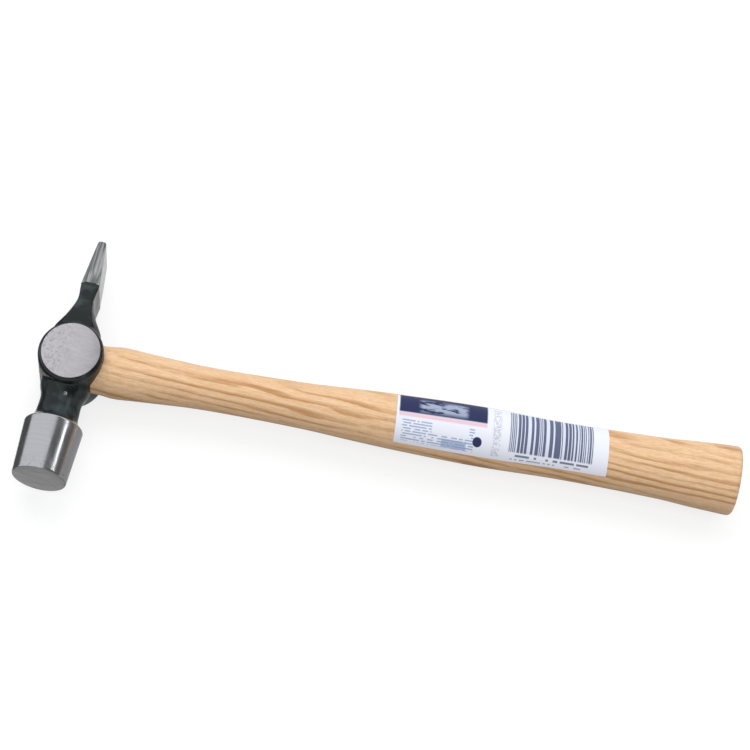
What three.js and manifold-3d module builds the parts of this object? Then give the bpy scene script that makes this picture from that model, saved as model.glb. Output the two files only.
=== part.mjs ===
// Cross pein pin hammer, lying on one cheek of its head. Millimetres, +Z up.
// The origin is the middle of the lower cheek, straight below the centre of the eye.
// +X runs along the handle to its butt, and the striking face looks along -Y.
import * as THREE from 'three';
import { mergeVertices } from 'three/addons/utils/BufferGeometryUtils.js';
import Module from 'manifold-3d';

const wasm = await Module();
wasm.setup();

// ---- Driving dimensions -------------------------------------------------------------------

// Boss: the round part of the head that holds the eye, with a flat ground cheek on each side
const cheekThickness = 21.8; // from one cheek to the other
const bossLength = 23.2; // along the head
const bossDepth = 22.1; // along the handle
const bossEdge = 1.2; // rounding between a cheek and the wall of the boss
const eyeHeight = 14.7; // long axis of the oval eye, along the head
const eyeWidth = 9.4; // short axis of the oval eye, cheek to cheek

// Poll: the round striking end
const faceReach = 43.6; // centre of the eye to the striking face
const pollLength = 19.3; // striking face to the shoulder
const shoulderDiameter = 20;
const faceDiameter = 18.4;
const faceChamfer = 0.4;
const pollNeckDiameter = 14.3; // thin part of the neck between poll and boss
const pollNeckRoot = 8.4; // half depth of that neck where it leaves the boss
const pollNeckPlace = 0.57; // where the neck is thinnest, as a share of the way from boss to shoulder
const pollShoulderRound = 1; // rounding just behind the poll's shoulder

// Pein: the wedge end, whose edge lies across the line of the handle
const peinReach = 45.4; // centre of the eye to the pein's edge
const peinLength = 17.8; // length of its two ground faces
const peinWidth = 15.9; // cheek side to cheek side
const peinRootThickness = 6.4;
const peinEdgeThickness = 2.8;
const peinEdgeRound = 0.9;
const peinSquareness = 18; // power of its outline: the higher, the crisper its long corners
const peinOffset = 0.4; // the pein stands this far off the centre of the boss, away from the handle
const webThickness = 5.8; // thin part of the neck behind the pein
const webWidth = 17;
const webShoulder = 10.2; // thickness of that neck half way to the boss

const rootDepth = 2; // how far the necks start inside the wall of the boss
const rootStepDown = 1; // how far the necks stay below the cheeks, so that the cheeks stand proud
const neckInset = 1.9; // how far inside the side of the boss the necks start

// Handle
const handleReach = 230.4; // centre of the eye to the butt
const handleHang = 2.3; // degrees that the handle leans from square, towards the pein
const handleFlatness = 0.8; // width across the cheeks over height along the head
const rootHeight = 17.3; // handle where it meets the head
const collarHeight = 18.6; // fullest point just past the head
const throatHeight = 15.4; // slimmest point
const bellyHeight = 21.4;
const gripHeight = 20.5;
const buttHeight = 25.2;
const buttEdge = 2; // rounding of the butt

// Wedges and label
const timberWedgeLength = 13.5;
const timberWedgeThickness = 2.6; // at its driven end
const timberWedgeTip = 0.9;
const steelWedgeLength = 9;
const steelWedgeWidth = 6.2;
const steelWedgeThickness = 2.2; // at its driven end
const steelWedgeTip = 0.8;
const labelLength = 73;
const labelWidth = 20; // round the handle
const labelThickness = 0.3;
const labelFromButt = 46; // nearest edge of the label to the butt

const fitGap = 0.3; // clearance between pieces that would touch

// ---- Places worked out from them ------------------------------------------------------------

const axisHeight = cheekThickness / 2; // head and handle share this centre height
const mouth = bossDepth / 2; // each mouth of the eye, along X
const freeLength = handleReach - mouth; // the part of the handle outside the head
const pollShoulder = faceReach - pollLength;
const peinRoot = peinReach - peinLength;

const lacquer = { color: 0x14191b, roughness: 0.3, metalness: 0.4 };
const ash = { color: 0xdcb483, roughness: 0.6, metalness: 0 };
const beech = { color: 0xc99a66, roughness: 0.7, metalness: 0 };
const steel = { color: 0x9a9a9c, roughness: 0.35, metalness: 0.9 };
const paper = { color: 0xe9ecf6, roughness: 0.5, metalness: 0 };

// ---- Lofting -----------------------------------------------------------------------------

// Each axis turns a place along it, and a point of an outline there, into a point of the part.
const alongHead = (at, u, v) => new THREE.Vector3(u, at, axisHeight + v);
const alongPoll = (at, u, v) => alongHead(-at, u, v);
const alongHandle = (at, u, v) => new THREE.Vector3(at, u, axisHeight + v);
const alongPein = (at, u, v) =>
  alongHead(at, u - peinOffset * THREE.MathUtils.smoothstep(at, 0, bossLength / 2), v);
const upwards = (at, u, v) => new THREE.Vector3(u, v, at);

// Points round a superellipse: power 2 is an ellipse, and a higher power is squarer.
const bent = (value, power) => Math.sign(value) * Math.abs(value) ** (2 / power);

function oval(halfU, halfV, power = 2, count = 40) {
  return Array.from({ length: count }, (_, k) => {
    const angle = ((k + 0.5) / count) * 2 * Math.PI;
    return [halfU * bent(Math.cos(angle), power), halfV * bent(Math.sin(angle), power)];
  });
}

const rectangle = (halfU, halfV) => [
  [-halfU, -halfV],
  [halfU, -halfV],
  [halfU, halfV],
  [-halfU, halfV],
];

// Closed skin over rings of points. Each end is closed by strips between point k of its ring and
// the partner of k, counted back from the ring's last point.
function skin(rings) {
  const count = rings[0].length;
  const last = (rings.length - 1) * count;
  const index = [];
  const quad = (a, b, c, d) => index.push(a, b, c, a, c, d);
  for (let row = 0; row < last; row += count)
    for (let k = 0; k < count; k++) {
      const next = (k + 1) % count;
      quad(row + k, row + next, row + count + next, row + count + k);
    }
  for (let k = 0; k < count / 2 - 1; k++) {
    const partner = count - 1 - k;
    quad(k, partner, partner - 1, k + 1);
    quad(last + k, last + k + 1, last + partner - 1, last + partner);
  }
  const positions = rings.flat().flatMap((point) => point.toArray());
  const geometry = new THREE.BufferGeometry();
  geometry.setAttribute('position', new THREE.Float32BufferAttribute(positions, 3));
  geometry.setIndex(index);
  return geometry;
}

// Skin over outlines: each station is [place along the axis, outline].
function loft(stations, axis) {
  return skin(stations.map(([at, outline]) => outline.map(([u, v]) => axis(at, u, v))));
}

// Stations on a smooth curve through rows of [place, half along u, half along v], grown all
// round, with the power of the outline eased from one end to the other.
function smoothStations(rows, powers, steps, grow) {
  const points = rows.map(([at, halfU, halfV]) => new THREE.Vector3(at, halfU + grow, halfV + grow));
  const curve = new THREE.CatmullRomCurve3(points, false, 'centripetal');
  return curve.getPoints(steps).map(({ x, y, z }, k) => {
    return [x, oval(y, z, THREE.MathUtils.lerp(powers[0], powers[1], (k / steps) ** 2))];
  });
}

// ---- Solids ------------------------------------------------------------------------------

// A solid from a closed geometry, turned outwards if its faces point in
function solid(geometry) {
  const merged = mergeVertices(geometry, 1e-4);
  const triVerts = new Uint32Array(merged.index.array);
  const vertProperties = merged.attributes.position.array;
  const made = new wasm.Manifold(new wasm.Mesh({ numProp: 3, vertProperties, triVerts }));
  if (made.volume() > 0) return made;
  return new wasm.Manifold(new wasm.Mesh({ numProp: 3, vertProperties, triVerts: triVerts.reverse() }));
}

function piece(name, body, look) {
  const { vertProperties, triVerts } = body.getMesh();
  const geometry = new THREE.BufferGeometry();
  geometry.setAttribute('position', new THREE.BufferAttribute(new Float32Array(vertProperties), 3));
  geometry.setIndex(new THREE.BufferAttribute(new Uint32Array(triVerts), 1));
  geometry.computeVertexNormals();
  const mesh = new THREE.Mesh(geometry, new THREE.MeshStandardMaterial(look));
  mesh.name = name;
  return mesh;
}

// ---- Head --------------------------------------------------------------------------------

// The boss, the poll and the pein can each be grown all round, to cut the handle to fit them.

function boss(grow) {
  const halfU = bossDepth / 2 + grow;
  const halfV = bossLength / 2 + grow;
  const edge = [0, 22.5, 45, 67.5, 90].map(THREE.MathUtils.degToRad).map((angle) => {
    const inset = bossEdge * (1 - Math.sin(angle));
    return [bossEdge * (1 - Math.cos(angle)) - grow, oval(halfU - inset, halfV - inset, 2, 56)];
  });
  const upperEdge = edge.map(([rise, outline]) => [cheekThickness - rise, outline]).reverse();
  return solid(loft([...edge, ...upperEdge], upwards));
}

// A neck runs from inside the wall of the boss to the place where its ground end starts.
const bossWall = bossLength / 2 - rootDepth;
const alongNeck = (share, end) => THREE.MathUtils.lerp(bossWall, end, share);
const neckDepth = bossDepth / 2 - neckInset;
const neckHeight = cheekThickness / 2 - rootStepDown;

// Poll and its neck, from inside the boss out to the striking face
function poll(grow) {
  const shoulderRadius = shoulderDiameter / 2;
  const faceRadius = faceDiameter / 2 + grow;
  const neckRadius = pollNeckDiameter / 2;
  const behindShoulder = THREE.MathUtils.lerp(neckRadius, shoulderRadius, 0.3);
  const roundedRadius = shoulderRadius - pollShoulderRound;
  const flare = smoothStations(
    [
      [0, neckDepth, neckHeight],
      [alongNeck(0, pollShoulder), pollNeckRoot, neckHeight],
      [alongNeck(pollNeckPlace / 2, pollShoulder), neckRadius, neckRadius * 1.07],
      [alongNeck(pollNeckPlace, pollShoulder), neckRadius, neckRadius],
      [alongNeck(0.82, pollShoulder), behindShoulder, behindShoulder],
      [alongNeck(0.92, pollShoulder), roundedRadius, roundedRadius],
      [pollShoulder, shoulderRadius, shoulderRadius],
    ],
    [2.2, 2],
    20,
    grow,
  );
  const straight = [
    [faceReach - faceChamfer, oval(faceRadius, faceRadius)],
    [faceReach, oval(faceRadius - faceChamfer, faceRadius - faceChamfer)],
  ];
  return solid(loft([...flare, ...straight], alongPoll));
}

// Neck and pein, from inside the boss out to the pein's edge
function pein(grow) {
  const neck = smoothStations(
    [
      [0, neckDepth, neckHeight],
      [alongNeck(0, peinRoot), neckDepth, neckHeight],
      [alongNeck(0.31, peinRoot), webShoulder / 2, neckHeight],
      [alongNeck(0.66, peinRoot), webThickness / 2, webWidth / 2],
      [alongNeck(0.93, peinRoot), (webThickness + peinRootThickness) / 4, peinWidth / 2],
      [peinRoot, peinRootThickness / 2, peinWidth / 2],
    ],
    [2.4, peinSquareness],
    18,
    grow,
  );
  const edgeHalf = peinEdgeThickness / 2 + grow;
  const sideHalf = peinWidth / 2 + grow;
  const edge = [0, 30, 60, 90].map(THREE.MathUtils.degToRad).map((angle) => {
    const inset = peinEdgeRound * (1 - Math.cos(angle));
    const at = peinReach - peinEdgeRound * (1 - Math.sin(angle));
    return [at, oval(edgeHalf - inset, sideHalf - inset, peinSquareness)];
  });
  return solid(loft([...neck, ...edge], alongPein));
}

const headShape = (grow) => boss(grow).add(poll(grow)).add(pein(grow));

function eye() {
  const outline = oval(eyeHeight / 2, eyeWidth / 2, 2.2);
  const stations = [-mouth - 1, mouth + 1].map((at) => [at, outline]);
  return solid(loft(stations, alongHandle));
}

const head = headShape(0).subtract(eye());

// ---- Wedges: driven into the handle from the outer mouth of the eye ------------------------

// Taper of one wedge, or of the slot that holds it when it is grown by a clearance
function taper(length, drivenSize, tipSize, grow) {
  const driven = rectangle(drivenSize[0] / 2 + grow, drivenSize[1] / 2 + grow);
  const tip = rectangle(tipSize[0] / 2 + grow, tipSize[1] / 2 + grow);
  const stations = [-mouth - 1, -mouth].map((at) => [at, driven]);
  return solid(loft([...stations, [-mouth + length + grow, tip]], alongHandle));
}

const timberTaper = (grow) =>
  taper(timberWedgeLength, [eyeHeight, timberWedgeThickness], [eyeHeight, timberWedgeTip], grow);
const steelTaper = (grow) =>
  taper(steelWedgeLength, [steelWedgeThickness, steelWedgeWidth], [steelWedgeTip, steelWedgeWidth], grow);

// ---- Handle ------------------------------------------------------------------------------

// Height along the free handle, as [share of the free length, height there]
const handleRows = [
  [0, rootHeight],
  [0.023, collarHeight],
  [0.06, THREE.MathUtils.lerp(collarHeight, throatHeight, 0.3)],
  [0.16, throatHeight],
  [0.315, THREE.MathUtils.lerp(throatHeight, bellyHeight, 0.17)],
  [0.4, THREE.MathUtils.lerp(throatHeight, bellyHeight, 0.53)],
  [0.48, THREE.MathUtils.lerp(throatHeight, bellyHeight, 0.8)],
  [0.6, bellyHeight],
  [0.727, gripHeight],
  [0.88, THREE.MathUtils.lerp(gripHeight, buttHeight, 0.3)],
  [0.937, THREE.MathUtils.lerp(gripHeight, buttHeight, 0.68)],
  [1, buttHeight],
];
const handleCurve = new THREE.CatmullRomCurve3(
  handleRows.map(([share, height]) => new THREE.Vector3(mouth + share * freeLength, height / 2, 0)),
  false,
  'centripetal',
);

// Half the handle's height at one place along it
function handleHalf(at) {
  let low = 0;
  let high = 1;
  for (let step = 0; step < 30; step++) {
    const middle = (low + high) / 2;
    if (handleCurve.getPoint(middle).x < at) low = middle;
    else high = middle;
  }
  return handleCurve.getPoint(low).y;
}

// The free handle leans from square by sliding each outline along the head.
const lean = Math.tan(THREE.MathUtils.degToRad(handleHang));
const alongGrip = (at, u, v) => alongHandle(at, u + at * lean, v);

const handlePower = 2.15;
const tenonOutline = oval(eyeHeight / 2 - fitGap, eyeWidth / 2 - fitGap, 2.2);

// The part inside the eye, cut off flush with the wall of the boss
function tenon() {
  const stations = [-mouth - 1, mouth + 2].map((at) => [at, tenonOutline]);
  return solid(loft(stations, alongHandle));
}

function grip() {
  const straightEnd = handleReach - buttEdge;
  const steps = 40;
  const stations = Array.from({ length: steps + 1 }, (_, k) => {
    const at = THREE.MathUtils.lerp(mouth - 6, straightEnd, (k / steps) ** 1.2);
    const half = handleHalf(at);
    return [at, oval(half, half * handleFlatness, handlePower)];
  });
  const endHalf = handleHalf(straightEnd);
  for (const angle of [22.5, 45, 67.5, 90].map(THREE.MathUtils.degToRad)) {
    const inset = buttEdge * (1 - Math.cos(angle));
    const outline = oval(endHalf - inset, endHalf * handleFlatness - inset, handlePower);
    stations.push([straightEnd + buttEdge * Math.sin(angle), outline]);
  }
  return solid(loft(stations, alongGrip));
}

const insideWall = boss(0).add(grip());
const handle = grip()
  .subtract(headShape(fitGap))
  .add(tenon().intersect(insideWall))
  .subtract(timberTaper(fitGap))
  .subtract(steelTaper(fitGap));

const timberWedge = timberTaper(0).intersect(tenon()).intersect(boss(0)).subtract(steelTaper(fitGap));
const steelWedge = steelTaper(0).intersect(boss(0));

// ---- Label: a printed strip stuck on the upper side of the grip ---------------------------

// Angles round the handle of the label's middle line, at its two ends: it runs slightly askew
const labelAngles = [98, 91].map(THREE.MathUtils.degToRad);

function label() {
  const labelEnd = handleReach - labelFromButt;
  const across = 12;
  const along = 16;
  const ringAt = (share) => {
    const at = labelEnd - labelLength * (1 - share);
    const half = handleHalf(at);
    const spread = labelWidth / half;
    const middle = THREE.MathUtils.lerp(labelAngles[0], labelAngles[1], share);
    const arc = (offset) =>
      Array.from({ length: across + 1 }, (_, k) => {
        const angle = middle + spread * (k / across - 0.5);
        const u = (half + offset) * bent(Math.cos(angle), handlePower);
        const v = (half * handleFlatness + offset) * bent(Math.sin(angle), handlePower);
        return alongGrip(at, u, v);
      });
    return [...arc(fitGap + labelThickness), ...arc(fitGap).reverse()];
  };
  return solid(skin(Array.from({ length: along + 1 }, (_, k) => ringAt(k / along))));
}

// ---- Assembly ----------------------------------------------------------------------------

const hammer = new THREE.Group();
hammer.add(
  piece('hammer_head', head, lacquer),
  piece('handle', handle, ash),
  piece('timber_wedge', timberWedge, beech),
  piece('steel_wedge', steelWedge, steel),
  piece('handle_label', label(), paper),
);

export default hammer;
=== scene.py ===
"""A cross pein pin hammer lying on one ground cheek, on a pale floor.

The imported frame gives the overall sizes. Sizes written here are in millimetres.
"""

import logging
import math
from dataclasses import dataclass
from enum import Enum
from typing import Callable, Iterable

import bpy
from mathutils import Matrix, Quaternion, Vector

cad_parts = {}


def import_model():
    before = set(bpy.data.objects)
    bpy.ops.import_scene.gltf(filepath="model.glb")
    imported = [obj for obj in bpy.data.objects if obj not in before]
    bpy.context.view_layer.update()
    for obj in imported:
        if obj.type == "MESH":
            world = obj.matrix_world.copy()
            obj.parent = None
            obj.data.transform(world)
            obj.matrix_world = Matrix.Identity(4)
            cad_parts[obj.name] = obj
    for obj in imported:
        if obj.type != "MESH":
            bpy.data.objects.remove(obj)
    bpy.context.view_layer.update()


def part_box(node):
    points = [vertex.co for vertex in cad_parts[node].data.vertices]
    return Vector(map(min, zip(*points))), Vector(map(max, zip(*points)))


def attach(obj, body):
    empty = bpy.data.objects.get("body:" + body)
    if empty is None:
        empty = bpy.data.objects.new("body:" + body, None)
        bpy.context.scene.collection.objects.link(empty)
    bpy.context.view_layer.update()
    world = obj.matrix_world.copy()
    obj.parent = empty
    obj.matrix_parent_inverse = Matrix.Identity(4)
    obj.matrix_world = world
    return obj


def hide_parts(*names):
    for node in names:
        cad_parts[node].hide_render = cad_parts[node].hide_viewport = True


LOG = logging.getLogger("pin_hammer")
MM = 0.001
BODY = "root"

Colour = tuple[float, float, float]
Triple = tuple[float, float, float]
Pair = tuple[float, float]
Area = tuple[float, float, float, float]
Socket = bpy.types.NodeSocket


# ---- Working in edit mode ----------------------------------------------------------------------


class Axis(Enum):
    """The way along which an outline is drawn out, as the turn that stands the outline across it."""

    ALONG_HANDLE = (0.0, math.pi / 2, 0.0)
    ALONG_HEAD = (math.pi / 2, 0.0, 0.0)


class Boolean(Enum):
    """What one solid does to another."""

    JOIN = "UNION"
    CUT = "DIFFERENCE"
    KEEP_COMMON = "INTERSECT"


@dataclass(frozen=True)
class Station:
    """One outline of a drawn-out solid.

    centre: the middle of the outline, in millimetres.
    across: half sizes of the outline along X, Y and Z, where the size along the axis is ignored.
    """

    centre: Triple
    across: Triple


def only(item: bpy.types.Object) -> None:
    """Selects one object alone, and makes it active.

    Args:
        item: the object.
    """
    bpy.ops.object.select_all(action="DESELECT")
    item.select_set(True)
    bpy.context.view_layer.objects.active = item


def primitive(name: str, add: Callable[..., object], **settings: object) -> bpy.types.Object:
    """Adds a primitive at its size and place, with nothing else selected.

    Args:
        name: name of the new object.
        add: the operator that adds it.
        settings: the operator's settings.

    Returns:
        The new object.
    """
    bpy.ops.object.select_all(action="DESELECT")
    add(**settings)
    item = bpy.context.active_object
    item.name = name
    return item


def pick(item: bpy.types.Object, mode: str, wanted: Callable[[object], bool]) -> None:
    """Selects parts of a mesh that is in edit mode by a test of each.

    Args:
        item: the object being edited.
        mode: VERT, EDGE or FACE.
        wanted: the test, given a vertex, an edge or a face.
    """
    bpy.ops.mesh.select_mode(type=mode)
    bpy.ops.mesh.select_all(action="DESELECT")
    bpy.ops.object.mode_set(mode="OBJECT")
    mesh = item.data
    kinds = {"VERT": mesh.vertices, "EDGE": mesh.edges, "FACE": mesh.polygons}
    for part in kinds[mode]:
        part.select = wanted(part)
    bpy.ops.object.mode_set(mode="EDIT")


def tidy_normals(item: bpy.types.Object) -> None:
    """Merges doubled points, and turns every face outwards.

    Args:
        item: the solid or sheet.
    """
    only(item)
    bpy.ops.object.mode_set(mode="EDIT")
    bpy.ops.mesh.select_all(action="SELECT")
    bpy.ops.mesh.remove_doubles(threshold=0.0005 * MM)
    bpy.ops.mesh.normals_make_consistent(inside=False)
    bpy.ops.object.mode_set(mode="OBJECT")


def apply_place(item: bpy.types.Object) -> None:
    """Puts an object's place, turn and size into its mesh."""
    only(item)
    bpy.ops.object.transform_apply(location=True, rotation=True, scale=True)


def apply_modifier(item: bpy.types.Object, kind: str, **settings: object) -> None:
    """Adds one modifier, sets it and applies it.

    Args:
        item: the object that takes it.
        kind: the modifier's type.
        settings: its properties by name.
    """
    only(item)
    modifier = item.modifiers.new(kind.title(), kind)
    for name, value in settings.items():
        setattr(modifier, name, value)
    bpy.ops.object.modifier_apply(modifier=modifier.name)


def combine(item: bpy.types.Object, how: Boolean, tool: bpy.types.Object) -> None:
    """Joins, cuts or crosses a solid with a tool, which is then thrown away."""
    apply_modifier(item, "BOOLEAN", operation=how.value, object=tool, solver="EXACT")
    bpy.data.objects.remove(tool)


def draw_through(stations: list[Station], size: Vector) -> None:
    """Draws the selected outline, in edit mode, from one station to the next.

    Args:
        stations: where it goes and its half sizes there. It lies at the first one already.
        size: its half sizes before the first station sets them, in metres.
    """
    previous = Vector(stations[0].centre)
    for number, station in enumerate(stations):
        centre = Vector(station.centre)
        if number:
            bpy.ops.mesh.extrude_region_move(TRANSFORM_OT_translate={"value": (centre - previous) * MM})
        wanted = Vector(station.across) * MM
        ratio = Vector([now / before for now, before in zip(wanted, size)])
        bpy.ops.transform.resize(value=ratio, center_override=centre * MM)
        size, previous = wanted, centre


def ring(name: str, first: Station, axis: Axis, sides: int, fill: str) -> bpy.types.Object:
    """A circle of one metre in radius round a station's centre, open in edit mode, all selected.

    Args:
        name: name of the new object.
        first: the station.
        axis: which way the circle faces.
        sides: points in it.
        fill: NGON or NOTHING.

    Returns:
        The new object.
    """
    place = Vector(first.centre) * MM
    add = bpy.ops.mesh.primitive_circle_add
    item = primitive(
        name, add, vertices=sides, radius=1.0, fill_type=fill, rotation=axis.value, location=place
    )
    apply_place(item)
    bpy.ops.object.mode_set(mode="EDIT")
    bpy.ops.mesh.select_all(action="SELECT")
    return item


def draw_out(name: str, stations: list[Station], axis: Axis, sides: int) -> bpy.types.Object:
    """A solid through round or oval outlines.

    Args:
        name: name of the new object.
        stations: the outlines in order.
        axis: which way they follow each other.
        sides: points in each outline.

    Returns:
        The closed solid, with its place in its mesh.
    """
    item = ring(name, stations[0], axis, sides, "NGON")
    draw_through(stations, Vector((1.0, 1.0, 1.0)))
    bpy.ops.object.mode_set(mode="OBJECT")
    tidy_normals(item)
    return item


def block(name: str, low: Iterable[float], high: Iterable[float]) -> bpy.types.Object:
    """A block between two corners, to be shaped further.

    Args:
        name: name of the new object.
        low: its lowest corner, in millimetres.
        high: its highest corner.

    Returns:
        The block, with its place in its mesh.
    """
    low, high = Vector(low) * MM, Vector(high) * MM
    add = bpy.ops.mesh.primitive_cube_add
    item = primitive(name, add, size=1.0, location=(low + high) / 2, scale=high - low)
    apply_place(item)
    return item


def smooth(item: bpy.types.Object, angle: float) -> None:
    """Shades a piece smooth, but for the edges that turn by more than an angle in degrees."""
    only(item)
    bpy.ops.object.shade_smooth_by_angle(angle=math.radians(angle))


def coat(item: bpy.types.Object, *finishes: bpy.types.Material) -> None:
    """Gives a piece its finishes, the main one first, in place of any that it has.

    Args:
        item: the piece.
        finishes: its materials.
    """
    item.data.materials.clear()
    for finish in finishes:
        item.data.materials.append(finish)


def smooth_curve(knots: list[Pair], at: float) -> float:
    """Height at one place on a smooth curve through knots.

    Args:
        knots: (place, height) pairs in order.
        at: the place.

    Returns:
        The height there.
    """
    last = len(knots) - 1
    slopes = []
    for k in range(len(knots)):
        before, after = knots[max(k - 1, 0)], knots[min(k + 1, last)]
        slopes.append((after[1] - before[1]) / (after[0] - before[0]))
    k = max(0, min(last - 1, sum(place <= at for place, _ in knots) - 1))
    (x0, y0), (x1, y1) = knots[k], knots[k + 1]
    span = x1 - x0
    t = min(1.0, max(0.0, (at - x0) / span))
    rise = (2 * t**3 - 3 * t**2 + 1) * y0 + (3 * t**2 - 2 * t**3) * y1
    return rise + span * ((t**3 - 2 * t**2 + t) * slopes[k] + (t**3 - t**2) * slopes[k + 1])


def hand_over(item: bpy.types.Object, slot: str, *nodes: str) -> None:
    """Rides a finished piece on the body, hides the CAD nodes that it stands for, and logs it with its slot.

    Args:
        item: the piece.
        slot: name of the material slot that is logged with it.
        nodes: the CAD nodes that it stands for, if any.
    """
    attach(item, BODY)
    if nodes:
        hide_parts(*nodes)
    LOG.info("%s: %d faces, slot %s, for %s", item.name, len(item.data.polygons), slot, nodes)


# ---- Finishes ---------------------------------------------------------------------------------


class Graph:
    """A material's nodes, added by short calls."""

    def __init__(self, name: str) -> None:
        """Starts a material that has only its shader and its output.

        Args:
            name: name of the material.
        """
        self.material = bpy.data.materials.new(name)
        self.material.use_nodes = True
        self.tree = self.material.node_tree
        self.shader = self.tree.nodes["Principled BSDF"]
        self.place = self.scaled(self.add("ShaderNodeTexCoord").outputs["Object"], (1 / MM,) * 3)

    def add(self, kind: str, **settings: object) -> bpy.types.Node:
        """Adds a node.

        Args:
            kind: the node's type.
            settings: its properties by name.

        Returns:
            The node.
        """
        node = self.tree.nodes.new(kind)
        for name, value in settings.items():
            setattr(node, name, value)
        return node

    def feed(self, socket: Socket, value: object) -> None:
        """Links a socket to another, or sets it.

        Args:
            socket: the socket to feed.
            value: a socket, a number or a colour.
        """
        if isinstance(value, bpy.types.NodeSocket):
            self.tree.links.new(value, socket)
        elif isinstance(value, tuple) and socket.type == "RGBA":
            socket.default_value = (*value, 1.0)
        else:
            socket.default_value = value

    def scaled(self, vector: Socket, scale: Triple, turn: Triple = (0, 0, 0)) -> Socket:
        """Stretches and turns a vector.

        Args:
            vector: the vector.
            scale: how much it grows along each axis.
            turn: how far it turns about each axis, in degrees.

        Returns:
            The new vector.
        """
        node = self.add("ShaderNodeMapping", vector_type="POINT")
        self.feed(node.inputs["Vector"], vector)
        node.inputs["Scale"].default_value = scale
        node.inputs["Rotation"].default_value = [math.radians(angle) for angle in turn]
        return node.outputs["Vector"]

    def math(self, operation: str, first: object, second: object = 0.0, third: object = 0.0) -> Socket:
        """Does one sum.

        Args:
            operation: the kind of sum.
            first: a socket or a number, as are the others.
            second: the next one, where the sum has it.
            third: the last one, where the sum has it.

        Returns:
            The result.
        """
        node = self.add("ShaderNodeMath", operation=operation)
        for socket, value in zip(node.inputs, (first, second, third)):
            self.feed(socket, value)
        return node.outputs[0]

    def split(self, vector: Socket) -> tuple[Socket, Socket, Socket]:
        """Takes a vector apart.

        Args:
            vector: the vector.

        Returns:
            Its X, Y and Z.
        """
        node = self.add("ShaderNodeSeparateXYZ")
        self.feed(node.inputs[0], vector)
        return node.outputs[0], node.outputs[1], node.outputs[2]

    def noise(self, vector: Socket, scale: float, detail: float = 2.0, rough: float = 0.5) -> Socket:
        """Makes a cloudy number from 0 to 1.

        Args:
            vector: where it is read.
            scale: how fine the clouds are.
            detail: how many finer layers they have.
            rough: how strong the finer layers are.

        Returns:
            The number.
        """
        node = self.add("ShaderNodeTexNoise")
        self.feed(node.inputs["Vector"], vector)
        node.inputs["Scale"].default_value = scale
        node.inputs["Detail"].default_value = detail
        node.inputs["Roughness"].default_value = rough
        return node.outputs[0]

    def between(
        self, value: object, low: float, high: float, start: float = 0.0, end: float = 1.0
    ) -> Socket:
        """Eases from one number to another while a value goes from low to high.

        Args:
            value: the value.
            low: where the change starts.
            high: where it ends.
            start: the number below low.
            end: the number above high.

        Returns:
            The eased number.
        """
        node = self.add("ShaderNodeMapRange", interpolation_type="SMOOTHSTEP")
        for socket, number in zip(node.inputs[:5], (value, low, high, start, end)):
            self.feed(socket, number)
        return node.outputs[0]

    def mix(self, share: object, first: object, second: object) -> Socket:
        """Lays one colour over another.

        Args:
            share: how much of the second covers the first, from 0 to 1.
            first: the colour below.
            second: the colour above.

        Returns:
            The mixed colour.
        """
        node = self.add("ShaderNodeMix", data_type="RGBA")
        self.feed(node.inputs[0], share)
        self.feed(node.inputs[6], first)
        self.feed(node.inputs[7], second)
        return node.outputs[2]

    def relief(self, height: Socket, depth: float, strength: float = 1.0) -> None:
        """Gives the surface its relief.

        Args:
            height: the relief, from 0 to 1.
            depth: how deep it is, in millimetres.
            strength: how much of it shows.
        """
        node = self.add("ShaderNodeBump")
        node.inputs["Strength"].default_value = strength
        node.inputs["Distance"].default_value = depth * MM
        self.feed(node.inputs["Height"], height)
        self.feed(self.shader.inputs["Normal"], node.outputs[0])

    def finish(self, colour: object, roughness: object, metallic: object = 0.0) -> bpy.types.Material:
        """Feeds the shader.

        Args:
            colour: a socket or a colour.
            roughness: a socket or a number, as is the next.
            metallic: how metallic the surface is.

        Returns:
            The material.
        """
        self.feed(self.shader.inputs["Base Color"], colour)
        self.feed(self.shader.inputs["Roughness"], roughness)
        self.feed(self.shader.inputs["Metallic"], metallic)
        return self.material


@dataclass(frozen=True)
class Lacquer:
    """Thick black dipped lacquer, with a slight orange peel and a cold sheen."""

    name: str = "black_lacquer"
    deep: Colour = (0.0035, 0.0065, 0.0075)
    thin: Colour = (0.026, 0.038, 0.041)

    def make(self) -> bpy.types.Material:
        """Mixes the finish.

        Returns:
            The lacquer as a material.
        """
        g = Graph(self.name)
        clouds = g.noise(g.place, 0.16, 3)
        peel = g.noise(g.place, 1.1, 3, 0.55)
        dust = g.noise(g.place, 5.0, 2)
        forged = g.noise(g.place, 0.3, 2, 0.5)
        skin = g.math("MULTIPLY_ADD", dust, 0.02, g.math("MULTIPLY", peel, 0.14))
        g.relief(g.math("ADD", forged, skin), 0.42, 0.7)
        g.shader.inputs["Specular IOR Level"].default_value = 0.36
        roughness = g.between(clouds, 0.3, 0.7, 0.24, 0.36)
        return g.finish(g.mix(g.between(clouds, 0.46, 0.64), self.deep, self.thin), roughness)


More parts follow.
